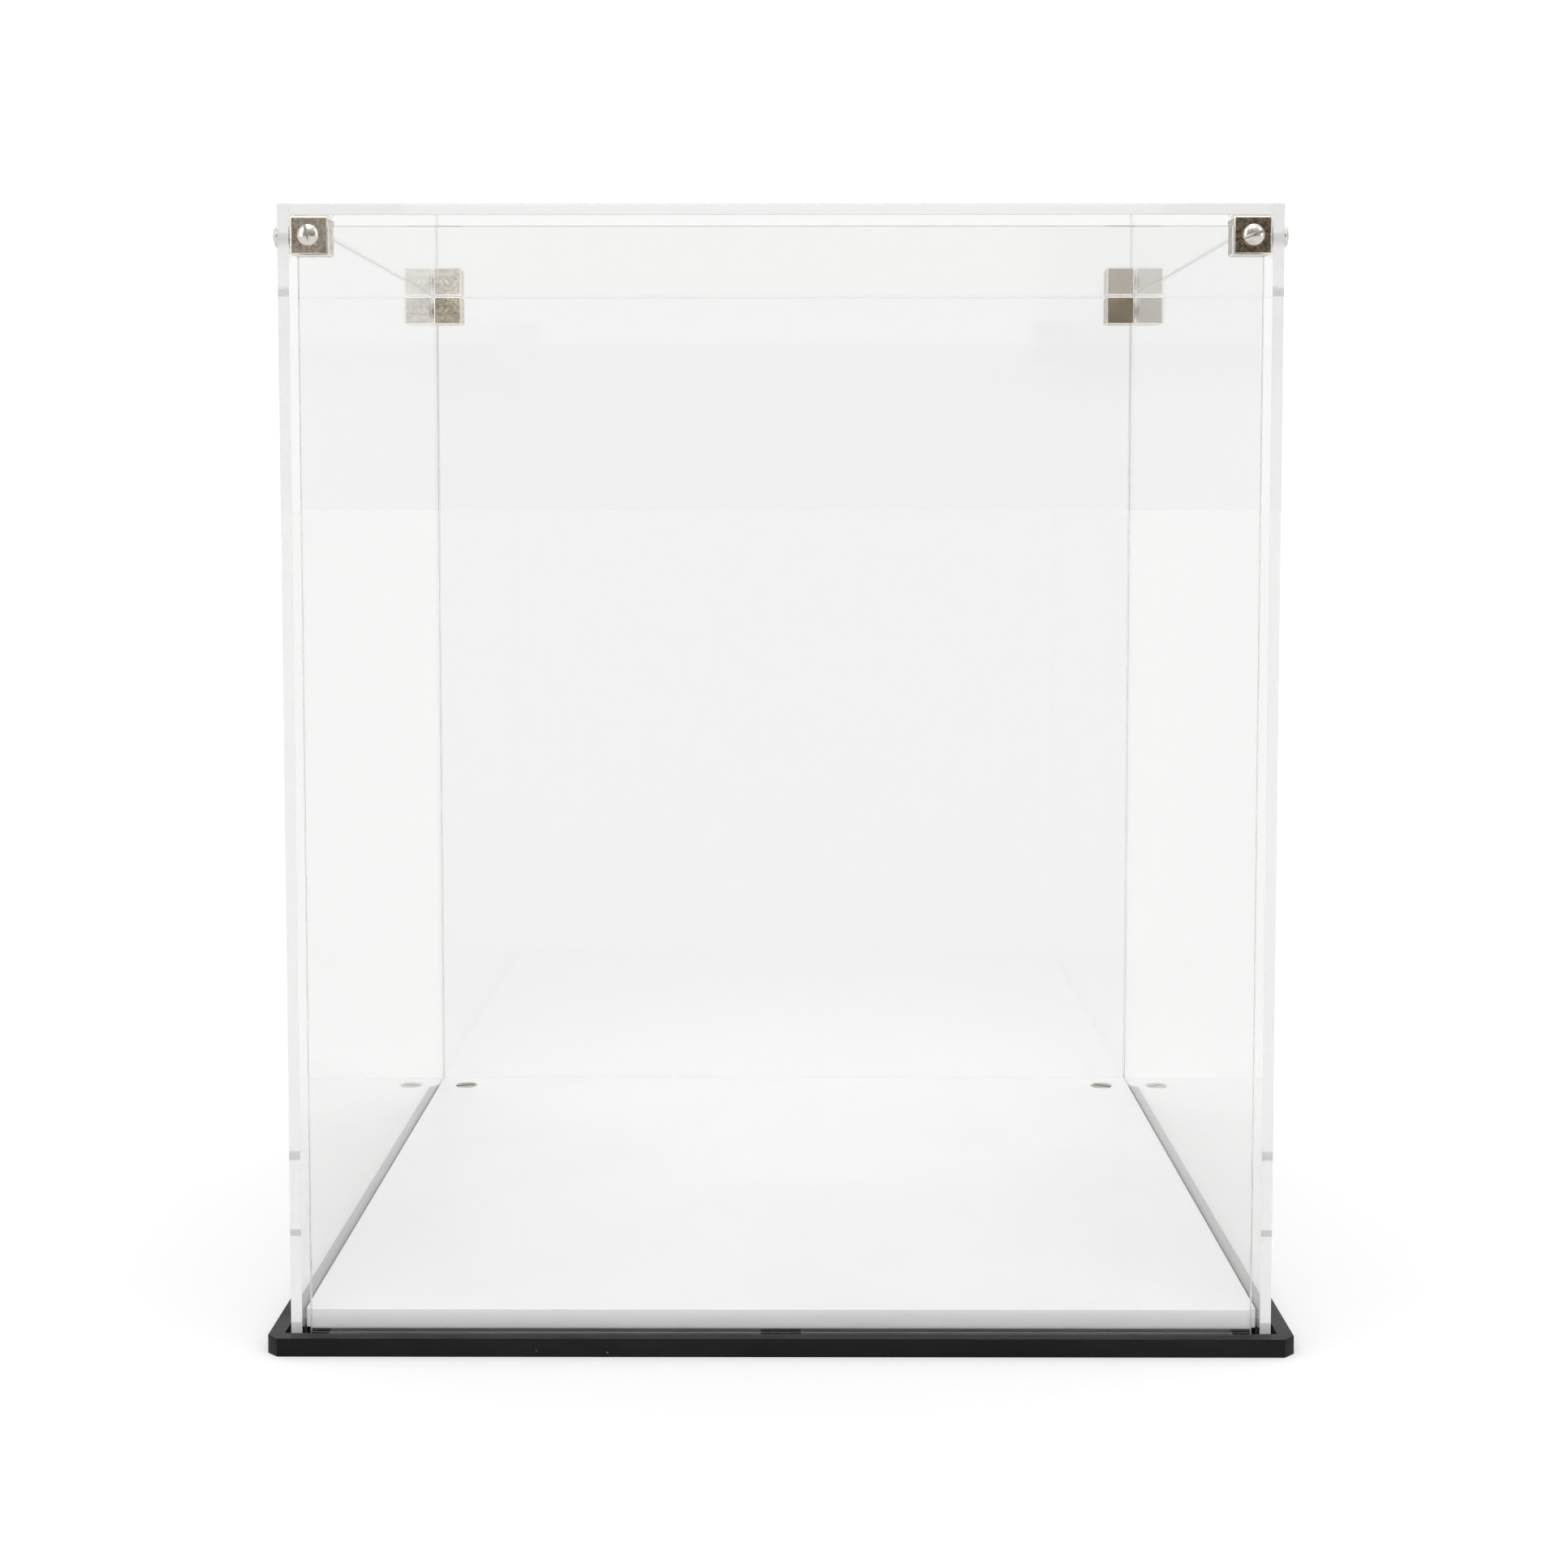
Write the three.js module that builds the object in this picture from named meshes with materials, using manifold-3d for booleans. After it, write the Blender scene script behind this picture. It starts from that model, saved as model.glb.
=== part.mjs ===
// A clear acrylic display case on a black base plate, in millimetres.
// +Z is up, the front faces -Y, and the origin is the middle of the base plate's underside.
// Flat sheets drop into slots in the base and are screwed to four small metal cubes under the lid.
import * as THREE from "three";
import { mergeVertices } from "three/addons/utils/BufferGeometryUtils.js";
import Module from "manifold-3d";

const wasm = await Module();
wasm.setup();

// Space and height of the case.
const clearWidth = 260; // between the two side panels
const clearDepth = 260; // from the front edge of the floor plate to the rear panel
const overallHeight = 309; // from the table to the top of the lid

// Sheets.
const wallThickness = 3; // side, rear, front and top panels
const baseThickness = 5;
const floorThickness = 5;
const baseLip = 4.3; // base plate outside the slots
const baseCornerCut = 3; // clipped corners of the base plate

// Fits.
const contactGap = 0.3; // air between pieces that touch
const weldDistance = 1e-4; // vertices closer than this are one vertex

// Slots in the base plate and the tabs that stand in them.
const slotWidth = 5;
const cornerSlotLength = 12; // each leg of a corner slot, from its outer corner
const middleSlotLength = 11;
const tabEndPlay = 0.5; // a middle tab is shorter than its slot by this at each end
const tabTableGap = 0.5; // the tabs end this far above the table

// Front panel: a loose sheet that stands on the base plate and is notched round the front cubes.
const frontPanelSideGap = 2.5; // air between it and each side panel
const frontPanelProud = 1.3; // how far it stands ahead of the side panels' front edges
const frontPanelTopGap = 2.9; // air between it and the lid

// Corner cubes and the slotted screws that thread into them.
const cubeSize = 10;
const screwRadius = 1.5;
const screwHeadRadius = 2.9;
const screwHeadHeight = 1.7;
const screwHeadWall = 0.7; // straight side of the head, below its dome
const screwSlotWidth = 0.8;
const screwSlotDepth = 0.9;

// Countersunk screws that hold the floor plate down.
const floorScrewRadius = 2;
const floorScrewHeadRadius = 3.8;
const floorScrewHeadDepth = 1.8;
const floorScrewSlotWidth = 1;
const floorScrewSlotDepth = 0.9;
const floorScrewTipHeight = 0.8; // above the table
const floorScrewSideInset = 10; // from the floor plate's side edges
const floorScrewRearInset = 12; // from its rear edge

// Turn of each screw's slot in degrees, seen from outside along the screw's axis.
const frontSlotTurn = { left: 108, right: 20 };
const sideSlotTurn = { front_left: 35, front_right: 150, rear_left: 80, rear_right: 12 };
const rearSlotTurn = { left: 62, right: 128 };
const floorSlotTurn = { left: 25, right: 140 };

const roundSegments = 28;
const holeSegments = 20;
const domeSteps = 4;

// Planes that the pieces share.
const sideInnerX = clearWidth / 2;
const rearInnerY = clearDepth / 2;
const rearOuterY = rearInnerY + wallThickness;
const slotInnerX = sideInnerX - contactGap;
const slotInnerY = rearInnerY - contactGap;
const slotOuterX = slotInnerX + slotWidth;
const slotOuterY = slotInnerY + slotWidth;
const baseHalfX = slotOuterX + baseLip;
const baseHalfY = slotOuterY + baseLip;
const sideEdgeY = slotOuterY - contactGap; // front and rear edges of the side panels
const floorBottom = baseThickness + contactGap;
const floorTop = floorBottom + floorThickness;
const panelBottom = baseThickness + contactGap;
const lidBottom = overallHeight - wallThickness;
const cubeTop = lidBottom - contactGap;
const cubeBottom = cubeTop - cubeSize;
const screwHeight = cubeTop - cubeSize / 2;
const cubeOuterX = sideInnerX - contactGap;
const cubeInnerX = cubeOuterX - cubeSize;
const cubeMiddleX = cubeOuterX - cubeSize / 2;
const frontCubeY = -sideEdgeY + cubeSize / 2; // middle of the front cubes, flush with the panels' edges
const rearCubeY = rearInnerY - contactGap - cubeSize / 2;
const holeRadius = screwRadius + contactGap;
const threadGrip = cubeSize / 2 - screwRadius - contactGap; // depth of each screw in its cube
const wallScrewLength = contactGap + wallThickness + contactGap + threadGrip;
const frontScrewLength = contactGap + threadGrip;
const floorScrewX = slotInnerX - floorScrewSideInset;
const floorScrewY = slotInnerY - floorScrewRearInset;

const clearAcrylic = { color: 0xeef2f2, roughness: 0.04, metalness: 0, transparent: true, opacity: 0.3 };
const blackAcrylic = { color: 0x1b1b1a, roughness: 0.2, metalness: 0 };
const whiteAcrylic = { color: 0xf3f2ef, roughness: 0.25, metalness: 0 };
const cubeNickel = { color: 0x8c8072, roughness: 0.22, metalness: 1 };
const screwNickel = { color: 0xc9c6c0, roughness: 0.25, metalness: 1 };

function makeMesh(name, geometry, finish) {
  const mesh = new THREE.Mesh(geometry, new THREE.MeshStandardMaterial(finish));
  mesh.name = name;
  return mesh;
}

function toSolid(geometry) {
  const bare = geometry.clone();
  bare.deleteAttribute("normal");
  bare.deleteAttribute("uv");
  const welded = mergeVertices(bare, weldDistance);
  const vertProperties = new Float32Array(welded.attributes.position.array);
  const triVerts = new Uint32Array(welded.index.array);
  return new wasm.Manifold(new wasm.Mesh({ numProp: 3, vertProperties, triVerts }));
}

function toGeometry(solid) {
  const { vertProperties, triVerts } = solid.getMesh();
  const geometry = new THREE.BufferGeometry();
  geometry.setAttribute("position", new THREE.BufferAttribute(vertProperties, 3));
  geometry.setIndex(new THREE.BufferAttribute(triVerts, 1));
  const shaded = geometry.toNonIndexed();
  shaded.computeVertexNormals();
  return shaded;
}

// The body with every cutter taken out of it.
function cut(body, ...cutters) {
  const solid = cutters.reduce((rest, cutter) => rest.subtract(toSolid(cutter)), toSolid(body));
  return toGeometry(solid);
}

function outline(points) {
  return new THREE.Shape(points.map(([x, y]) => new THREE.Vector2(x, y)));
}

function disc(x, y, radius) {
  return new THREE.Shape().absarc(x, y, radius, 0, 2 * Math.PI, false);
}

function rectangle(x0, x1, y0, y1) {
  return outline([[x0, y0], [x1, y0], [x1, y1], [x0, y1]]);
}

function sheet(shape, holes, thickness) {
  shape.holes.push(...holes);
  return new THREE.ExtrudeGeometry(shape, {
    depth: thickness,
    bevelEnabled: false,
    curveSegments: holeSegments,
  });
}

// A sheet's outline with tabs below its lower edge. Each tab is [start, end] along the edge, in order.
function tabbedOutline(start, end, bottom, top, tabs) {
  const points = [[start, bottom]];
  for (const [tabStart, tabEnd] of tabs) {
    points.push([tabStart, bottom], [tabStart, tabTableGap], [tabEnd, tabTableGap], [tabEnd, bottom]);
  }
  points.push([end, bottom], [end, top], [start, top]);
  const same = ([ax, ay], [bx, by]) => ax === bx && ay === by;
  return outline(points.filter((point, i) => !same(point, points[(i + 1) % points.length])));
}

function cornerSlot(signX, signY) {
  const legEndX = slotOuterX - cornerSlotLength;
  const legEndY = slotOuterY - cornerSlotLength;
  const corners = [
    [slotOuterX, slotOuterY],
    [legEndX, slotOuterY],
    [legEndX, slotInnerY],
    [slotInnerX, slotInnerY],
    [slotInnerX, legEndY],
    [slotOuterX, legEndY],
  ];
  return outline(corners.map(([x, y]) => [signX * x, signY * y]));
}

function makeBasePlate() {
  const edge = outline([
    [-baseHalfX + baseCornerCut, -baseHalfY],
    [baseHalfX - baseCornerCut, -baseHalfY],
    [baseHalfX, -baseHalfY + baseCornerCut],
    [baseHalfX, baseHalfY - baseCornerCut],
    [baseHalfX - baseCornerCut, baseHalfY],
    [-baseHalfX + baseCornerCut, baseHalfY],
    [-baseHalfX, baseHalfY - baseCornerCut],
    [-baseHalfX, -baseHalfY + baseCornerCut],
  ]);
  const half = middleSlotLength / 2;
  const openings = [];
  for (const sign of [-1, 1]) {
    openings.push(cornerSlot(sign, -1), cornerSlot(sign, 1));
    openings.push(rectangle(sign * slotInnerX, sign * slotOuterX, -half, half));
    openings.push(rectangle(-half, half, sign * slotInnerY, sign * slotOuterY));
    openings.push(disc(sign * floorScrewX, floorScrewY, floorScrewRadius + contactGap));
  }
  const cutters = openings.map((shape) => {
    return sheet(shape, [], 3 * baseThickness).translate(0, 0, -baseThickness);
  });
  return makeMesh("base_plate", cut(sheet(edge, [], baseThickness), ...cutters), blackAcrylic);
}

function makeFloorPlate() {
  const plate = new THREE.BoxGeometry(2 * slotInnerX, 2 * slotInnerY, floorThickness);
  plate.translate(0, 0, floorTop - floorThickness / 2);
  const recessRadius = floorScrewHeadRadius + contactGap;
  const shankRadius = floorScrewRadius + contactGap;
  const recess = new THREE.LatheGeometry(
    [
      new THREE.Vector2(0, -2 * floorThickness),
      new THREE.Vector2(shankRadius, -2 * floorThickness),
      new THREE.Vector2(shankRadius, -floorScrewHeadDepth),
      new THREE.Vector2(recessRadius, 0),
      new THREE.Vector2(recessRadius, floorThickness),
      new THREE.Vector2(0, floorThickness),
    ],
    roundSegments,
  );
  recess.rotateX(Math.PI / 2);
  const cutters = [-1, 1].map((sign) => {
    return recess.clone().translate(sign * floorScrewX, floorScrewY, floorTop);
  });
  return makeMesh("floor_plate", cut(plate, ...cutters), whiteAcrylic);
}

// A screw stands on its tip along +Z, with the underside of its head, or the top of a flush one, at 0.
function makeSlottedScrew(profile, slotWidthAcross, slotFloor, slotTop, slotSpan) {
  const body = new THREE.LatheGeometry(profile, roundSegments).rotateX(Math.PI / 2);
  const slot = new THREE.BoxGeometry(slotSpan, slotWidthAcross, slotTop - slotFloor);
  slot.translate(0, 0, (slotFloor + slotTop) / 2);
  return cut(body, slot);
}

function domedScrew(length) {
  const profile = [
    new THREE.Vector2(0, -length),
    new THREE.Vector2(screwRadius, -length),
    new THREE.Vector2(screwRadius, 0),
    new THREE.Vector2(screwHeadRadius, 0),
  ];
  for (let i = 0; i <= domeSteps; i++) {
    const angle = (i / domeSteps) * (Math.PI / 2);
    const rise = (screwHeadHeight - screwHeadWall) * Math.sin(angle);
    const radius = i === domeSteps ? 0 : screwHeadRadius * Math.cos(angle);
    profile.push(new THREE.Vector2(radius, screwHeadWall + rise));
  }
  const slotFloor = screwHeadHeight - screwSlotDepth;
  return makeSlottedScrew(profile, screwSlotWidth, slotFloor, 2 * screwHeadHeight, 4 * screwHeadRadius);
}

function flushScrew() {
  const length = floorTop - floorScrewTipHeight;
  const profile = [
    new THREE.Vector2(0, -length),
    new THREE.Vector2(floorScrewRadius, -length),
    new THREE.Vector2(floorScrewRadius, -floorScrewHeadDepth),
    new THREE.Vector2(floorScrewHeadRadius, 0),
    new THREE.Vector2(0, 0),
  ];
  const depth = floorScrewSlotDepth;
  return makeSlottedScrew(profile, floorScrewSlotWidth, -depth, depth, 4 * floorScrewHeadRadius);
}

// A cube with one blind threaded hole in its outer side face and one in its front or rear face.
function makeCornerCube(name, signX, middleY, signY) {
  const block = new THREE.BoxGeometry(cubeSize, cubeSize, cubeSize);
  const boreLength = cubeSize;
  const bore = new THREE.CylinderGeometry(holeRadius, holeRadius, boreLength, holeSegments);
  const sideBore = bore.clone().rotateZ(Math.PI / 2);
  sideBore.translate((signX * boreLength) / 2, 0, 0);
  const endBore = bore.clone().translate(0, (signY * boreLength) / 2, 0);
  const mesh = makeMesh(name, cut(block, sideBore, endBore), cubeNickel);
  mesh.position.set(signX * cubeMiddleX, middleY, screwHeight);
  return mesh;
}

function makeSidePanel(side, signX) {
  const cornerTabEnd = slotOuterY - cornerSlotLength + contactGap;
  const middleTabEnd = middleSlotLength / 2 - tabEndPlay;
  const tabs = [
    [-sideEdgeY, -cornerTabEnd],
    [-middleTabEnd, middleTabEnd],
    [cornerTabEnd, sideEdgeY],
  ];
  const shape = tabbedOutline(-sideEdgeY, sideEdgeY, panelBottom, overallHeight, tabs);
  const holes = [frontCubeY, rearCubeY].map((y) => disc(y, screwHeight, holeRadius));
  const mesh = makeMesh("side_panel_" + side, sheet(shape, holes, wallThickness), clearAcrylic);
  const upright = new THREE.Matrix4().makeBasis(
    new THREE.Vector3(0, 1, 0),
    new THREE.Vector3(0, 0, 1),
    new THREE.Vector3(1, 0, 0),
  );
  mesh.quaternion.setFromRotationMatrix(upright);
  mesh.position.x = signX > 0 ? sideInnerX : -sideInnerX - wallThickness;
  return mesh;
}

function makeRearPanel() {
  const edgeX = sideInnerX - contactGap;
  const cornerTabStart = slotOuterX - cornerSlotLength + contactGap;
  const middleTabEnd = middleSlotLength / 2 - tabEndPlay;
  const tabs = [
    [-edgeX, -cornerTabStart],
    [-middleTabEnd, middleTabEnd],
    [cornerTabStart, edgeX],
  ];
  const shape = tabbedOutline(-edgeX, edgeX, panelBottom, overallHeight, tabs);
  const holes = [-cubeMiddleX, cubeMiddleX].map((x) => disc(x, screwHeight, holeRadius));
  const mesh = makeMesh("rear_panel", sheet(shape, holes, wallThickness), clearAcrylic);
  mesh.rotation.x = Math.PI / 2;
  mesh.position.y = rearOuterY;
  return mesh;
}

function makeFrontPanel() {
  const half = sideInnerX - frontPanelSideGap;
  const notchX = cubeInnerX - contactGap;
  const notchZ = cubeBottom - contactGap;
  const top = lidBottom - frontPanelTopGap;
  const shape = outline([
    [-half, panelBottom],
    [half, panelBottom],
    [half, notchZ],
    [notchX, notchZ],
    [notchX, top],
    [-notchX, top],
    [-notchX, notchZ],
    [-half, notchZ],
  ]);
  const mesh = makeMesh("front_panel", sheet(shape, [], wallThickness), clearAcrylic);
  mesh.rotation.x = Math.PI / 2;
  mesh.position.y = -sideEdgeY - frontPanelProud + wallThickness;
  return mesh;
}

// The lid lies on the four cubes, between the side panels and against the rear panel.
function makeTopPanel() {
  const edgeX = sideInnerX - contactGap;
  const rearY = rearInnerY - contactGap;
  const shape = rectangle(-edgeX, edgeX, -sideEdgeY, rearY);
  const mesh = makeMesh("top_panel", sheet(shape, [], wallThickness), clearAcrylic);
  mesh.position.z = lidBottom;
  return mesh;
}

const base = new THREE.Group();
base.add(makeBasePlate(), makeFloorPlate());

const cover = new THREE.Group();
cover.add(makeRearPanel(), makeFrontPanel(), makeTopPanel());

const wallScrew = domedScrew(wallScrewLength);
const frontScrew = domedScrew(frontScrewLength);
const floorScrew = flushScrew();
const outsideX = sideInnerX + wallThickness + contactGap;
const quarterTurn = Math.PI / 2;

for (const [side, signX] of [["left", -1], ["right", 1]]) {
  const floorFixing = makeMesh("floor_screw_" + side, floorScrew, screwNickel);
  floorFixing.position.set(signX * floorScrewX, floorScrewY, floorTop);
  floorFixing.rotation.z = THREE.MathUtils.degToRad(floorSlotTurn[side]);
  base.add(floorFixing);

  cover.add(makeSidePanel(side, signX));

  for (const [end, cubeY, signY] of [["front", frontCubeY, -1], ["rear", rearCubeY, 1]]) {
    const corner = end + "_" + side;
    cover.add(makeCornerCube("corner_cube_" + corner, signX, cubeY, signY));

    const sideScrew = makeMesh("side_screw_" + corner, wallScrew, screwNickel);
    sideScrew.position.set(signX * outsideX, cubeY, screwHeight);
    sideScrew.rotation.set(0, signX * quarterTurn, THREE.MathUtils.degToRad(sideSlotTurn[corner]));
    cover.add(sideScrew);
  }

  const frontFixing = makeMesh("front_screw_" + side, frontScrew, screwNickel);
  frontFixing.position.set(signX * cubeMiddleX, -sideEdgeY - contactGap, screwHeight);
  frontFixing.rotation.set(quarterTurn, 0, THREE.MathUtils.degToRad(frontSlotTurn[side]));
  cover.add(frontFixing);

  const rearFixing = makeMesh("rear_screw_" + side, wallScrew, screwNickel);
  rearFixing.position.set(signX * cubeMiddleX, rearOuterY + contactGap, screwHeight);
  rearFixing.rotation.set(-quarterTurn, 0, THREE.MathUtils.degToRad(rearSlotTurn[side]));
  cover.add(rearFixing);
}

const displayCube = new THREE.Group();
displayCube.add(base, cover);

export default displayCube;
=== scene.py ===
import math

import bmesh
import bpy
from mathutils import Matrix, Vector


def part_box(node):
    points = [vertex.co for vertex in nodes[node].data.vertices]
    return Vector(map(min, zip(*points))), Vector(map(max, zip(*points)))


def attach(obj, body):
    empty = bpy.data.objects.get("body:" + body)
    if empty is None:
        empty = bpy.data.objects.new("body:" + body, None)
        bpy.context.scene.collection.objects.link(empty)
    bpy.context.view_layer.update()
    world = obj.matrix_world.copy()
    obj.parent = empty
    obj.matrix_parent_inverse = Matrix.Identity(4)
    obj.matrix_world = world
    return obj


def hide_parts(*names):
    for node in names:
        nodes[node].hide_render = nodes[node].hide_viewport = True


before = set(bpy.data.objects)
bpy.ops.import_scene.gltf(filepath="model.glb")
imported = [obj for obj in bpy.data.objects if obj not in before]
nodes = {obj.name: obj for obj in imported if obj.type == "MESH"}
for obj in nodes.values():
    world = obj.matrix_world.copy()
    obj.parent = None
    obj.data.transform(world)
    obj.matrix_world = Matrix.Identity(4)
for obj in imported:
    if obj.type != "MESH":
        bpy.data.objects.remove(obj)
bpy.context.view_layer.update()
mm = 0.001
print("case loaded:", len(nodes), "pieces")


def addNode(tree, kind, links=None, **settings):  # links: what goes into each input, by name or number
    node = tree.nodes.new(kind)
    for key, value in settings.items():
        setattr(node, key, value)
    for socket, value in (links or {}).items():
        feed(tree, node.inputs[socket], value)
    return node


def feed(tree, socket, value):  # value is a socket to link or a plain value
    if isinstance(value, bpy.types.NodeSocket):
        tree.links.new(value, socket)
    else:
        socket.default_value = value


def calc(tree, operation, a, b=0.0, c=0.0):
    return addNode(tree, "ShaderNodeMath", {0: a, 1: b, 2: c}, operation=operation).outputs[0]


def span(tree, value, low, high):  # low at 0 to high at 1
    return calc(tree, "MULTIPLY_ADD", value, high - low, low)


def fade(tree, value, low, high, toLow=0.0, toHigh=1.0):  # smooth step from low to high
    node = addNode(tree, "ShaderNodeMapRange", {0: value, 1: low, 2: high, 3: toLow, 4: toHigh},
                   interpolation_type="SMOOTHSTEP")
    return node.outputs[0]


def blendColour(tree, amount, first, second):
    node = addNode(tree, "ShaderNodeMix", {0: amount, 6: first, 7: second}, data_type="RGBA")
    return node.outputs[2]


def stretched(tree, point, scale):  # coordinates stretched by a scale of their own on each axis
    return addNode(tree, "ShaderNodeMapping", {"Vector": point, "Scale": scale}).outputs[0]


def cloud(tree, point, scale, detail=3.0, rough=0.55):
    node = addNode(tree, "ShaderNodeTexNoise",
                   {"Vector": point, "Scale": scale, "Detail": detail, "Roughness": rough})
    return node.outputs[0]


def bump(tree, height, depth):
    return addNode(tree, "ShaderNodeBump", {"Height": height, "Distance": depth}).outputs[0]


def newMaterial(name):
    material = bpy.data.materials.new(name)
    material.use_nodes = True
    tree = material.node_tree
    shader = tree.nodes["Principled BSDF"]
    place = tree.nodes.new("ShaderNodeTexCoord")
    return material, tree, shader, place


# clear acrylic; the noise scales here and below are in waves for each metre
clearSheet = {
    "colour": (0.988, 0.992, 0.990, 1.0),
    "handled": (0.972, 0.976, 0.973, 1.0),     # where it has been touched and wiped
    "touches": 11.0,
    "wipes": (70.0, 70.0, 9.0),
    "bend": 1.491,                             # index of refraction of cast acrylic
    "edgeColour": (0.890, 0.894, 0.891, 1.0),
    "edgeClear": 0.52,                         # share of the light that goes through a cut edge
    "edgeGloss": 0.006,                        # roughness where the cutter has left a mark
    "cutPitch": 0.5 * mm,                      # spacing of the cutter's marks
    "cutAcross": 60.0,                         # how they change through the thickness
    "cutDepth": 0.00005 * mm,
}


def clearAcrylic(name, faceAxis):  # faceAxis is 0, 1 or 2: the axis the sheet's faces look along
    material, tree, shader, place = newMaterial(name)
    point = place.outputs["Object"]
    facing = addNode(tree, "ShaderNodeSeparateXYZ", {0: place.outputs["Normal"]}).outputs[faceAxis]
    cut = fade(tree, calc(tree, "ABSOLUTE", facing), 0.9, 0.6)  # 1 on the cut edges, 0 on the faces
    handled = fade(tree, cloud(tree, point, clearSheet["touches"], 4.0), 0.52, 0.78)
    wipes = cloud(tree, stretched(tree, point, clearSheet["wipes"]), 1.0, 5.0, 0.7)
    smudge = calc(tree, "MULTIPLY", handled, fade(tree, wipes, 0.55, 0.8))
    face = blendColour(tree, smudge, clearSheet["colour"], clearSheet["handled"])
    along = [1.0 / clearSheet["cutPitch"]] * 3
    along[faceAxis] = clearSheet["cutAcross"]
    marks = cloud(tree, stretched(tree, point, along), 1.0, 2.0)
    # the faces are dead smooth, and only the cut edges are a little rough
    edgeRough = calc(tree, "MULTIPLY", fade(tree, marks, 0.62, 0.75), clearSheet["edgeGloss"])
    markHeight = calc(tree, "MULTIPLY", marks, cut)
    feed(tree, shader.inputs["Base Color"], blendColour(tree, cut, face, clearSheet["edgeColour"]))
    feed(tree, shader.inputs["Roughness"], calc(tree, "MULTIPLY", cut, edgeRough))
    feed(tree, shader.inputs["Transmission Weight"], span(tree, cut, 1.0, clearSheet["edgeClear"]))
    feed(tree, shader.inputs["Normal"], bump(tree, markHeight, clearSheet["cutDepth"]))
    shader.inputs["IOR"].default_value = clearSheet["bend"]
    return material


# black acrylic of the base plate
blackSheet = {
    "colour": (0.0045, 0.0045, 0.0045, 1.0),
    "worn": (0.009, 0.009, 0.009, 1.0),        # haze of fine rubbing
    "rubs": (18.0, 60.0, 60.0),
    "dust": (0.20, 0.20, 0.19, 1.0),
    "dustCover": 0.8,
    "speckScale": 260.0,
    "speckSize": 0.075,                        # share of the spacing
    "speckShare": 0.86,                        # how many of the cells hold no speck
    "gloss": (0.34, 0.50),                     # roughness, clean to rubbed
    "grain": 2600.0,
    "grainDepth": 0.006 * mm,
    "bend": 1.49,
    "shine": 0.16,
}


def blackAcrylic(name):
    material, tree, shader, place = newMaterial(name)
    point = place.outputs["Object"]
    rubs = cloud(tree, stretched(tree, point, blackSheet["rubs"]), 1.0, 6.0, 0.65)
    rubbed = fade(tree, rubs, 0.4, 0.7)
    specks = addNode(tree, "ShaderNodeTexVoronoi",
                     {"Vector": point, "Scale": blackSheet["speckScale"], "Randomness": 1.0})
    speckSize, speckShare = blackSheet["speckSize"], blackSheet["speckShare"]
    speck = fade(tree, specks.outputs["Distance"], speckSize, speckSize * 0.6)
    pick = addNode(tree, "ShaderNodeSeparateColor", {0: specks.outputs["Color"]}).outputs[0]
    dust = calc(tree, "MULTIPLY", speck, fade(tree, pick, speckShare - 0.06, speckShare))
    colour = blendColour(tree, rubbed, blackSheet["colour"], blackSheet["worn"])
    dustCover = calc(tree, "MULTIPLY", dust, blackSheet["dustCover"])
    grain = cloud(tree, point, blackSheet["grain"], 2.0)
    feed(tree, shader.inputs["Base Color"], blendColour(tree, dustCover, colour, blackSheet["dust"]))
    feed(tree, shader.inputs["Roughness"], span(tree, rubbed, *blackSheet["gloss"]))
    feed(tree, shader.inputs["Normal"], bump(tree, grain, blackSheet["grainDepth"]))
    shader.inputs["IOR"].default_value = blackSheet["bend"]
    shader.inputs["Specular IOR Level"].default_value = blackSheet["shine"]
    return material


# opal white acrylic of the floor plate
whiteSheet = {
    "colour": (0.873, 0.873, 0.869, 1.0),
    "shade": (0.848, 0.850, 0.848, 1.0),
    "patches": 16.0,
    "rubs": (30.0, 90.0, 90.0),
    "gloss": (0.10, 0.20),
    "waves": 90.0,
    "waveDepth": 0.02 * mm,
    "milkiness": 0.45,                         # light goes in and comes out a few millimetres away
    "glow": 3.0 * mm,
    "bend": 1.49,
}


def whiteAcrylic(name):
    material, tree, shader, place = newMaterial(name)
    point = place.outputs["Object"]
    patch = fade(tree, cloud(tree, point, whiteSheet["patches"], 5.0), 0.35, 0.7)
    rubs = cloud(tree, stretched(tree, point, whiteSheet["rubs"]), 1.0, 6.0, 0.7)
    rubbed = fade(tree, rubs, 0.45, 0.75)
    waves = cloud(tree, point, whiteSheet["waves"], 2.0)
    colour = blendColour(tree, patch, whiteSheet["colour"], whiteSheet["shade"])
    feed(tree, shader.inputs["Base Color"], colour)
    feed(tree, shader.inputs["Roughness"], span(tree, rubbed, *whiteSheet["gloss"]))
    feed(tree, shader.inputs["Normal"], bump(tree, waves, whiteSheet["waveDepth"]))
    shader.inputs["IOR"].default_value = whiteSheet["bend"]
    shader.inputs["Subsurface Weight"].default_value = whiteSheet["milkiness"]
    shader.inputs["Subsurface Radius"].default_value = (1.0, 1.0, 1.0)
    shader.inputs["Subsurface Scale"].default_value = whiteSheet["glow"]
    return material


# nickel-plated corner cubes
cubeFinish = {
    "plating": (0.88, 0.80, 0.68, 1.0),
    "tarnish": (0.29, 0.235, 0.165, 1.0),
    "worn": (0.90, 0.86, 0.78, 1.0),           # along the edges
    "wearFrom": (0.47, 0.51),                  # where the wear starts and is full, 0.5 is the very edge
    "rub": 900.0,
    "rubShare": 0.05,
    "age": {"left": 0.2, "right": 0.85},       # 0 bright to 1 brown all over
    "mottle": 760.0,
    "mottleShare": 0.70,
    "blotch": 150.0,
    "blotchShare": 0.25,
    "gloss": (0.08, 0.24),
    "pits": 1500.0,
    "pitDepth": 0.016 * mm,
    "edge": 0.42 * mm,                         # rounding of the edges
    "edgeSteps": 4,
}


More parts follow.
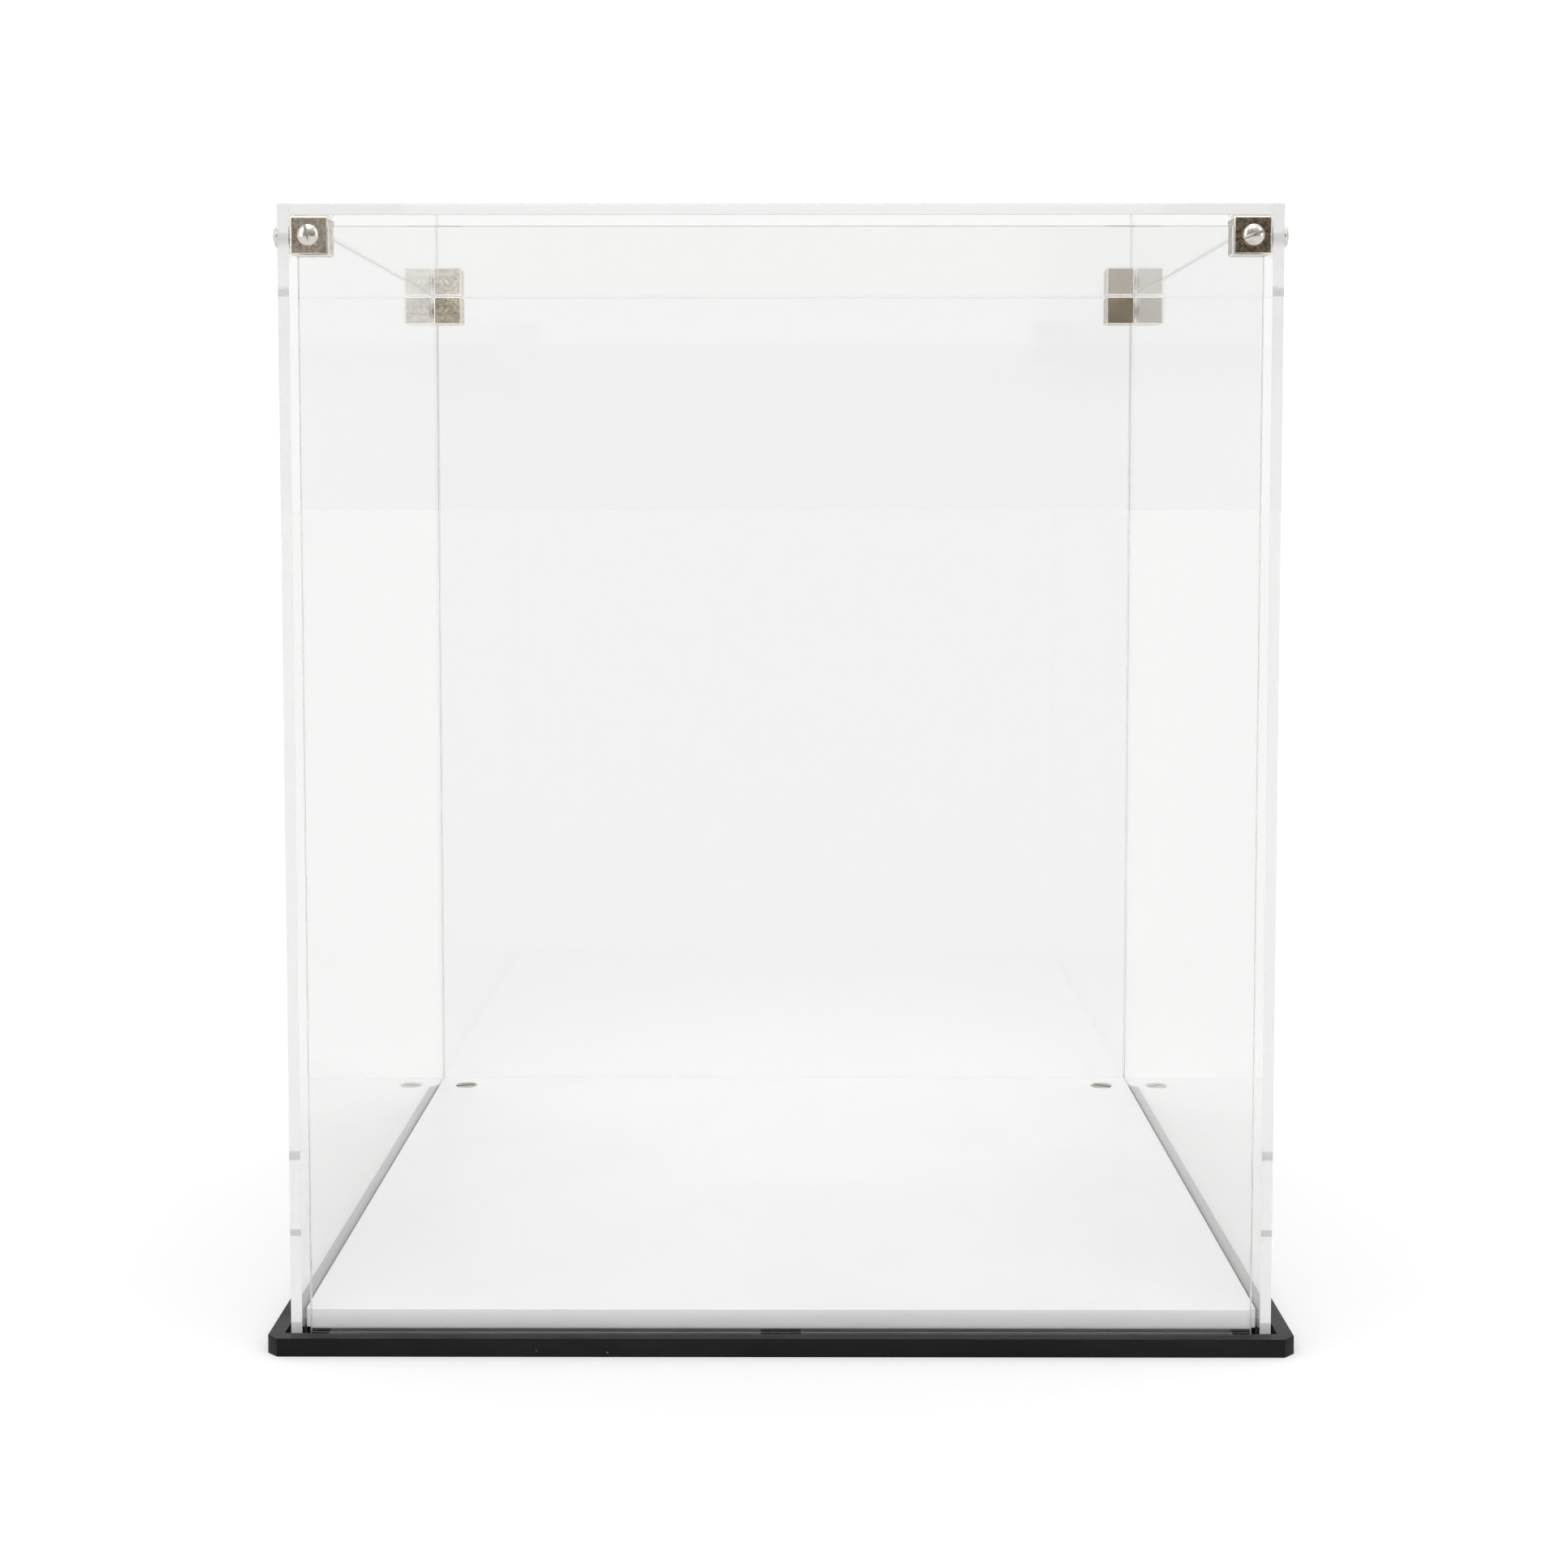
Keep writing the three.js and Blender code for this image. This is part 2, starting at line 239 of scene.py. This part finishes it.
def cubeNickel(name, age):
    material, tree, shader, place = newMaterial(name)
    point = place.outputs["Object"]
    spread = addNode(tree, "ShaderNodeVectorMath", {0: place.outputs["Generated"], 1: (0.5, 0.5, 0.5)},
                     operation="SUBTRACT").outputs[0]
    side = addNode(tree, "ShaderNodeSeparateXYZ", {0: spread})
    x, y, z = [calc(tree, "ABSOLUTE", side.outputs[i]) for i in range(3)]
    # the middle one of the three is near 0.5 only along the edges
    larger = calc(tree, "MAXIMUM", x, y)
    middle = calc(tree, "MAXIMUM", calc(tree, "MINIMUM", x, y), calc(tree, "MINIMUM", larger, z))
    uneven = cloud(tree, point, cubeFinish["rub"], 3.0)
    rubbed = calc(tree, "MULTIPLY_ADD", uneven, cubeFinish["rubShare"], middle)
    wear = fade(tree, rubbed, *cubeFinish["wearFrom"])
    mottle = fade(tree, cloud(tree, point, cubeFinish["mottle"], 6.0, 0.75), 0.40, 0.60)
    blotch = fade(tree, cloud(tree, point, cubeFinish["blotch"], 3.0), 0.42, 0.65)
    blotched = calc(tree, "MULTIPLY", blotch, cubeFinish["blotchShare"])
    patchy = calc(tree, "MULTIPLY_ADD", mottle, cubeFinish["mottleShare"], blotched)
    browned = span(tree, patchy, age, 1.0)
    colour = blendColour(tree, browned, cubeFinish["plating"], cubeFinish["tarnish"])
    pits = cloud(tree, point, cubeFinish["pits"], 4.0, 0.6)
    feed(tree, shader.inputs["Base Color"], blendColour(tree, wear, colour, cubeFinish["worn"]))
    feed(tree, shader.inputs["Roughness"], span(tree, mottle, *cubeFinish["gloss"]))
    feed(tree, shader.inputs["Normal"], bump(tree, pits, cubeFinish["pitDepth"]))
    shader.inputs["Metallic"].default_value = 1.0
    return material


# finishes of the screws
screwFinish = {
    "plating": (0.72, 0.69, 0.64, 1.0),
    "grime": (0.24, 0.20, 0.155, 1.0),
    "recess": (0.018, 0.015, 0.012, 1.0),      # painted shade, dark deep in the slot and in the thread roots
    "gloss": (0.09, 0.20),
    "scratchDepth": 0.006 * mm,
}
floorScrewFinish = {
    "plating": (0.34, 0.33, 0.285, 1.0),
    "grime": (0.11, 0.10, 0.08, 1.0),
    # painted shade deep in the slot and in the thread roots
    "recess": (0.020, 0.018, 0.015, 1.0),
    "gloss": (0.28, 0.42),
    "scratchDepth": 0.01 * mm,
}
screwStain = {"scale": 1100.0, "cover": 0.45}
turningMarks = (5200.0, 5200.0, 900.0)


def screwMetal(name, finish):
    material, tree, shader, place = newMaterial(name)
    point = place.outputs["Object"]
    # painted shade: the colour darkens to near black deep in the slot and in the thread roots
    recess = addNode(tree, "ShaderNodeAttribute", attribute_name="recess").outputs["Fac"]
    stain = fade(tree, cloud(tree, point, screwStain["scale"], 5.0, 0.65), 0.45, 0.75)
    stainCover = calc(tree, "MULTIPLY", stain, screwStain["cover"])
    stained = blendColour(tree, stainCover, finish["plating"], finish["grime"])
    turned = cloud(tree, stretched(tree, point, turningMarks), 1.0, 2.0)
    feed(tree, shader.inputs["Base Color"], blendColour(tree, recess, stained, finish["recess"]))
    feed(tree, shader.inputs["Roughness"], span(tree, stain, *finish["gloss"]))
    feed(tree, shader.inputs["Normal"], bump(tree, turned, finish["scratchDepth"]))
    shader.inputs["Metallic"].default_value = 1.0
    return material


caseScrew = {       # pan head, slotted
    "shank": 1.5 * mm, "root": 1.22 * mm, "pitch": 0.5 * mm,
    "head": 2.9 * mm, "headHeight": 1.7 * mm, "wall": 0.62 * mm, "rim": 0.14 * mm,
    "slotWidth": 0.8 * mm, "slotDepth": 0.9 * mm, "domeSteps": 14,
}
floorScrew = {      # countersunk, slotted
    "shank": 2.0 * mm, "root": 1.65 * mm, "pitch": 0.7 * mm,
    "head": 3.8 * mm, "headDepth": 1.8 * mm, "land": 0.25 * mm, "rim": 0.12 * mm,
    "slotWidth": 1.0 * mm, "slotDepth": 0.9 * mm,
}
slotRim = {"width": 0.07 * mm, "steps": 2, "angle": math.radians(50)}
threadShape = {"rowsPerPitch": 8, "flatCrest": 1.15}
recessShading = {"top": 0.05 * mm, "bottom": 0.30 * mm, "reach": 0.62, "threads": 0.35}   # depths, and shares, of the painted shade in the slots and thread roots
screwSharpAngle = math.radians(32)


def lathe(profile, steps=72):  # profile: (radius, height) from tip to crown, both ends on the axis
    shape = bmesh.new()
    rings = []
    for radius, height in profile:
        if radius == 0.0:
            rings.append([shape.verts.new((0.0, 0.0, height))])
            continue
        angles = [math.tau * i / steps for i in range(steps)]
        points = [(radius * math.cos(a), radius * math.sin(a), height) for a in angles]
        rings.append([shape.verts.new(point) for point in points])
    for low, high in zip(rings, rings[1:]):
        for i in range(steps):
            j = (i + 1) % steps
            corners = [low[i % len(low)], low[j % len(low)], high[j % len(high)], high[i % len(high)]]
            shape.faces.new(list(dict.fromkeys(corners)))  # three corners where a ring is one point
    return shape


def threadedShank(size, tip, top, steps=36):  # a real helical thread, run out at both ends
    shape = bmesh.new()
    rows = max(8, round((top - tip) / size["pitch"] * threadShape["rowsPerPitch"]))
    rings = []
    for row in range(rows + 1):
        height = tip + (top - tip) * row / rows
        runOut = max(0.0, min(1.0, (height - tip) / size["pitch"], (top - height) / size["pitch"]))
        ring = []
        for i in range(steps):
            turn = i / steps
            phase = (height / size["pitch"] - turn) % 1.0
            crest = min(1.0, (1.0 - abs(2.0 * phase - 1.0)) * threadShape["flatCrest"])
            radius = size["root"] + (size["shank"] - size["root"]) * crest * runOut
            angle = math.tau * turn
            ring.append(shape.verts.new((radius * math.cos(angle), radius * math.sin(angle), height)))
        rings.append(ring)
    for low, high in zip(rings, rings[1:]):
        for i in range(steps):
            j = (i + 1) % steps
            shape.faces.new((low[i], low[j], high[j], high[i]))
    shape.faces.new(list(reversed(rings[0])))
    shape.faces.new(rings[-1])
    return shape


def toObject(shape, name):
    bmesh.ops.recalc_face_normals(shape, faces=shape.faces)
    mesh = bpy.data.meshes.new(name)
    shape.to_mesh(mesh)
    shape.free()
    return linked(name, mesh)


def linked(name, data):
    piece = bpy.data.objects.new(name, data)
    bpy.context.scene.collection.objects.link(piece)
    return piece


def addModifier(piece, name, kind, **settings):
    modifier = piece.modifiers.new(name, kind)
    for key, value in settings.items():
        setattr(modifier, key, value)


def applyModifiers(piece):  # makes the piece's modifiers into its mesh
    depth = bpy.context.evaluated_depsgraph_get()
    mesh = bpy.data.meshes.new_from_object(piece.evaluated_get(depth))
    old = piece.data
    piece.modifiers.clear()
    piece.data = mesh
    bpy.data.meshes.remove(old)


def cutSlot(head, size, crown):
    shape = bmesh.new()
    bmesh.ops.create_cube(shape, size=1.0)
    bladeSize = (size["head"] * 3.0, size["slotWidth"], size["slotDepth"] * 2.0)
    bmesh.ops.scale(shape, vec=bladeSize, verts=shape.verts)
    bmesh.ops.translate(shape, vec=(0.0, 0.0, crown), verts=shape.verts)
    blade = toObject(shape, "blade")
    addModifier(head, "slot", "BOOLEAN", object=blade, operation="DIFFERENCE", solver="EXACT")
    applyModifiers(head)
    bpy.data.objects.remove(blade)
    addModifier(head, "rim", "BEVEL", width=slotRim["width"], segments=slotRim["steps"],
                limit_method="ANGLE", angle_limit=slotRim["angle"])
    applyModifiers(head)


def between(value, zeroAt, oneAt):
    return min(1.0, max(0.0, (value - zeroAt) / (oneAt - zeroAt)))


def markRecessShade(piece, test):  # 1 on the points that take painted shade, deep in a slot and down in the thread roots
    values = piece.data.attributes.new("recess", "FLOAT", "POINT")
    for vertex in piece.data.vertices:
        values.data[vertex.index].value = test(vertex.co)


def makeShank(size, tip, top):
    shank = toObject(threadedShank(size, tip, top), "shank")

    def deep(p):  # how far a point lies below the crest of the thread
        return recessShading["threads"] * between(math.hypot(p.x, p.y), size["shank"], size["root"])

    markRecessShade(shank, deep)
    return shank


def finishScrew(head, shank, name, seat, axis, turn):
    head.data.transform(Matrix.Rotation(turn, 4, "Z"))
    joined = bmesh.new()
    for part in (head, shank):
        joined.from_mesh(part.data)
        bpy.data.objects.remove(part)
    mesh = bpy.data.meshes.new(name)
    joined.to_mesh(mesh)
    joined.free()
    mesh.shade_smooth()
    mesh.set_sharp_from_angle(angle=screwSharpAngle)
    toAxis = axis.to_track_quat("Z", "Y" if abs(axis.z) < 0.5 else "X").to_matrix().to_4x4()
    mesh.transform(Matrix.Translation(seat) @ toAxis)
    return linked(name, mesh)


def makeCaseScrew(node, axis, turn):
    low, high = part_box(node)
    size = caseScrew
    length = (high - low).dot(Vector(map(abs, axis)))
    seat = (low + high) / 2 + axis * (length / 2 - size["headHeight"])  # where the head bears
    radius, wall, rim = size["head"], size["wall"], size["rim"]
    rise = size["headHeight"] - wall
    profile = [(0.0, 0.0), (radius - rim, 0.0), (radius - rim * 0.3, rim * 0.3), (radius, rim),
               (radius, wall)]
    for step in range(1, size["domeSteps"]):
        angle = math.pi / 2 * step / size["domeSteps"]
        profile.append((radius * math.cos(angle), wall + rise * math.sin(angle)))
    profile.append((0.0, size["headHeight"]))
    head = toObject(lathe(profile), "head")
    cutSlot(head, size, size["headHeight"])

    def deep(p):  # how far a point lies below the dome, within the slot
        if abs(p.y) >= size["slotWidth"] * recessShading["reach"]:
            return 0.0
        dome = wall + rise * math.sqrt(max(0.0, 1 - (p.x ** 2 + p.y ** 2) / radius ** 2))
        return between(dome - p.z, recessShading["top"], recessShading["bottom"])

    markRecessShade(head, deep)
    shank = makeShank(size, size["headHeight"] - length, 0.02 * mm)
    return finishScrew(head, shank, node + "_turned", seat, axis, turn)


def makeFloorScrew(node, axis, turn):
    low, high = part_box(node)
    size = floorScrew
    crown = Vector(((low.x + high.x) / 2, (low.y + high.y) / 2, high.z))
    radius, rim, depth = size["head"], size["rim"], size["headDepth"]
    profile = [(0.0, -depth), (size["shank"], -depth), (radius, -size["land"]), (radius, -rim),
               (radius - rim, 0.0), (radius * 0.5, 0.0), (0.0, 0.0)]
    head = toObject(lathe(profile), "head")
    cutSlot(head, size, 0.0)
    markRecessShade(head, lambda p: between(-p.z, recessShading["top"], recessShading["bottom"]))
    shank = makeShank(size, low.z - high.z, 0.02 * mm - depth)
    return finishScrew(head, shank, node + "_turned", crown, axis, turn)


clearSide = clearAcrylic("clearSide", 0)
clearUpright = clearAcrylic("clearUpright", 1)
clearLid = clearAcrylic("clearLid", 2)
blackBase = blackAcrylic("blackBase")
whiteFloor = whiteAcrylic("whiteFloor")
cubePlating = {side: cubeNickel(side + "CubePlating", age) for side, age in cubeFinish["age"].items()}
screwPlating = screwMetal("screwPlating", screwFinish)
floorScrewSteel = screwMetal("floorScrewSteel", floorScrewFinish)

# rounding of the edges in mm, material, and the body and finish of a sheet that is let down on to the
# base
sheets = {
    "side_panel_left": (0.18, clearSide, None),
    "side_panel_right": (0.18, clearSide, None),
    "rear_panel": (0.18, clearUpright, None),
    "front_panel": (0.12, clearUpright, ("front", "clear_acrylic")),
    "top_panel": (0.12, clearLid, None),
    "base_plate": (0.15, blackBase, None),
    "floor_plate": (1.10, whiteFloor, ("base", "white_acrylic")),
}
hair = 0.01 * mm     # what a resting sheet sinks in, and what counts as level with its underside


def softenEdges(piece, width, steps=3):  # keeps the cut shape
    addModifier(piece, "join", "WELD", merge_threshold=0.002 * mm)
    addModifier(piece, "flat", "DECIMATE", decimate_type="DISSOLVE", angle_limit=math.radians(1.0))
    addModifier(piece, "soft", "BEVEL", width=width, segments=steps,
                limit_method="ANGLE", angle_limit=math.radians(40))


def dress(piece, material):
    piece.data.materials.clear()
    piece.data.materials.append(material)


def restOnBase(name, body, finish):  # a copy of the sheet, let down the last bit on to the base
    underside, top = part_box(name)[0].z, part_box("base_plate")[1].z
    sheet = linked(name + "_resting", nodes[name].data.copy())
    for vertex in sheet.data.vertices:
        if vertex.co.z < underside + hair:
            vertex.co.z = top - hair
    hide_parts(name)
    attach(sheet, body)
    return sheet


def clearFoot(sheet):  # the edge that the sheet stands on lets the eye straight through
    material, tree, shader, place = newMaterial("clearFoot")
    smear = fade(tree, cloud(tree, place.outputs["Object"], 60.0), 0.4, 0.7)
    colour = blendColour(tree, smear, clearSheet["colour"], clearSheet["handled"])
    feed(tree, shader.inputs["Base Color"], colour)
    shader.inputs["Roughness"].default_value = 0.0
    shader.inputs["Transmission Weight"].default_value = 1.0
    shader.inputs["IOR"].default_value = 1.0
    sheet.data.materials.append(material)
    points = sheet.data.vertices
    lowest = min(v.co.z for v in points)
    for face in sheet.data.polygons:
        if max(points[i].co.z for i in face.vertices) < lowest + hair:
            face.material_index = 1


for name, (edge, material, rests) in sheets.items():
    sheet = restOnBase(name, *rests) if rests else nodes[name]
    softenEdges(sheet, edge * mm)
    dress(sheet, material)
    if name == "front_panel":
        clearFoot(sheet)
    sheet.visible_shadow = material in (blackBase, whiteFloor)  # the lamp shines through the clear sheets
print("sheets dressed")

for name in [n for n in nodes if n.startswith("corner_cube")]:
    softenEdges(nodes[name], cubeFinish["edge"], cubeFinish["edgeSteps"])
    dress(nodes[name], cubePlating[name.rsplit("_", 1)[1]])
print("corner cubes dressed")

# outward axis and turn of the slot, in degrees
caseScrewPlaces = {
    "front_screw_left": ((0, -1, 0), 108),
    "front_screw_right": ((0, -1, 0), 20),
    "rear_screw_left": ((0, 1, 0), 62),
    "rear_screw_right": ((0, 1, 0), 128),
    "side_screw_front_left": ((-1, 0, 0), 35),
    "side_screw_front_right": ((1, 0, 0), 150),
    "side_screw_rear_left": ((-1, 0, 0), 80),
    "side_screw_rear_right": ((1, 0, 0), 12),
}
floorScrewPlaces = {
    "floor_screw_left": ((0, 0, 1), 25),
    "floor_screw_right": ((0, 0, 1), 140),
}


def placeScrews(places, make, metal, body):
    for name, (axis, turn) in places.items():
        screw = make(name, Vector(axis), math.radians(turn))
        dress(screw, metal)
        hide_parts(name)
        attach(screw, body)


placeScrews(caseScrewPlaces, makeCaseScrew, screwPlating, "cover")
placeScrews(floorScrewPlaces, makeFloorScrew, floorScrewSteel, "base")
print("screws made")

studio = {
    "floorRadius": 40.0,
    "floorWhite": (0.93, 0.93, 0.93, 1.0),
    "lampStrength": 0.80,
    "lampSpread": 50.0,                # degrees, for soft shadows
    "lampFrom": (-0.05, -0.60, 1.0),
    "open": 1.02,                      # the white all round
    "throughSheet": 0.965,             # the same white, seen through the clear sheets
    # painted shade on the floor, where it is seen through the clear sheets and in mirrors
    "floorThroughSheet": (0.757, 0.757, 0.757, 1.0),
    # what polished things mirror: the room, the backdrop from where it starts to where it is full, the
    # ceiling the same way, and then cards and soft boxes, each
    # (direction, half width, half height, softness of the rim, colour)
    "room": (0.42, 0.415, 0.405, 1.0),
    "backdrop": (0.965, 0.965, 0.965, 1.0),
    "backdropFrom": (0.25, 0.7),
    "ceiling": (0.88, 0.88, 0.87, 1.0),
    "ceilingFrom": (0.22, 0.6),
    "cards": [
        ((-1.0, -0.10, 0.25), 0.42, 0.80, 0.3, (0.72, 0.71, 0.70)),
        ((1.0, -0.10, 0.25), 0.42, 0.80, 0.3, (0.70, 0.69, 0.68)),
        ((0.175, -1.0, 0.10), 0.085, 0.065, 0.4, (0.10, 0.09, 0.075)),
        ((-0.95, -0.95, 0.35), 0.26, 0.60, 0.2, (2.3, 2.3, 2.25)),
        ((0.98, -0.85, 0.35), 0.22, 0.60, 0.2, (1.9, 1.9, 1.85)),
        ((0.1, 0.25, 1.0), 0.75, 0.55, 0.2, (1.3, 1.3, 1.27)),
    ],
}


# 1 for what is seen through a clear sheet, and 1 for what is seen in a mirroring surface
def pastSheets(tree):
    path = addNode(tree, "ShaderNodeLightPath")
    return [calc(tree, "GREATER_THAN", path.outputs[depth], 0.5)
            for depth in ("Transmission Depth", "Glossy Depth")]


def grey(level):
    return (level, level, level, 1.0)


def onCard(tree, look, direction, halfWidth, halfHeight, softness):  # 1 where a look meets the card
    ahead = Vector(direction).normalized()
    level = ahead.cross(Vector((0, 0, 1)))
    level = level.normalized() if level.length > 0.3 else Vector((1, 0, 0))
    dots = [addNode(tree, "ShaderNodeVectorMath", {0: look, 1: tuple(v)}, operation="DOT_PRODUCT")
            for v in (ahead, level, level.cross(ahead))]
    near, across, up = [dot.outputs["Value"] for dot in dots]
    inside = calc(tree, "GREATER_THAN", near, 0.1)
    for offset, half in ((across, halfWidth), (up, halfHeight)):
        share = calc(tree, "ABSOLUTE", calc(tree, "DIVIDE", offset, near))
        inside = calc(tree, "MULTIPLY", inside, fade(tree, share, half, half * (1 - softness)))
    return inside


def studioWorld():
    world = bpy.data.worlds.new("studio")
    bpy.context.scene.world = world
    world.use_nodes = True
    tree = world.node_tree
    look = addNode(tree, "ShaderNodeTexCoord").outputs["Generated"]
    along = addNode(tree, "ShaderNodeSeparateXYZ", {0: look})
    rear = fade(tree, along.outputs[1], *studio["backdropFrom"])
    above = fade(tree, along.outputs[2], *studio["ceilingFrom"])
    room = blendColour(tree, above, studio["room"], studio["ceiling"])
    room = blendColour(tree, rear, room, studio["backdrop"])
    for *place, colour in studio["cards"]:
        room = blendColour(tree, onCard(tree, look, *place), room, colour + (1.0,))
    through, mirrored = pastSheets(tree)
    seen = blendColour(tree, through, grey(studio["open"]), grey(studio["throughSheet"]))
    feed(tree, tree.nodes["Background"].inputs["Color"], blendColour(tree, mirrored, seen, room))
    world.cycles.sampling_method = "NONE"


def studioFloor():
    shape = bmesh.new()
    bmesh.ops.create_circle(shape, cap_ends=True, segments=96, radius=studio["floorRadius"])
    ground = toObject(shape, "studioFloor")
    material, tree, shader, place = newMaterial("floorPaper")
    fibre = cloud(tree, place.outputs["Object"], 300.0, 3.0)
    # painted shade: the floor is a darker white where it is seen through the clear sheets and in mirrors
    past = calc(tree, "MAXIMUM", *pastSheets(tree))
    white = blendColour(tree, past, studio["floorWhite"], studio["floorThroughSheet"])
    feed(tree, shader.inputs["Base Color"], white)
    feed(tree, shader.inputs["Roughness"], fade(tree, fibre, 0.3, 0.7, 0.85, 1.0))
    shader.inputs["Specular IOR Level"].default_value = 0.0
    dress(ground, material)


def studioLamp():
    data = bpy.data.lights.new("overheadBox", "SUN")
    data.energy = studio["lampStrength"]
    data.angle = math.radians(studio["lampSpread"])
    data.cycles.use_multiple_importance_sampling = False
    lamp = linked("overheadBox", data)
    lamp.rotation_mode = "QUATERNION"
    lamp.rotation_quaternion = Vector(studio["lampFrom"]).to_track_quat("Z", "Y")


shot = {
    "lens": 54.45,
    "sensor": 36.0,
    "shiftY": -0.0903,
    "place": (2.96 * mm, -765.9 * mm, 231.7 * mm),
    "yaw": -0.186,       # degrees, to the right of straight ahead
    "pitch": 3.509,      # degrees, down
    "reach": (0.02, 60.0),
}


def makeCamera():
    data = bpy.data.cameras.new("camera")
    data.lens = shot["lens"]
    data.sensor_width = shot["sensor"]
    data.shift_y = shot["shiftY"]
    data.clip_start, data.clip_end = shot["reach"]
    camera = linked("camera", data)
    camera.location = shot["place"]
    camera.rotation_euler = (math.radians(90 - shot["pitch"]), 0.0, -math.radians(shot["yaw"]))
    bpy.context.scene.camera = camera


studioWorld()
studioFloor()
studioLamp()
makeCamera()
lightBounces = 64    # light runs a long way inside the sheets
scene = bpy.context.scene
scene.view_settings.view_transform = "Standard"
scene.cycles.max_bounces = lightBounces
scene.cycles.transmission_bounces = lightBounces
scene.cycles.glossy_bounces = lightBounces
print("studio ready")
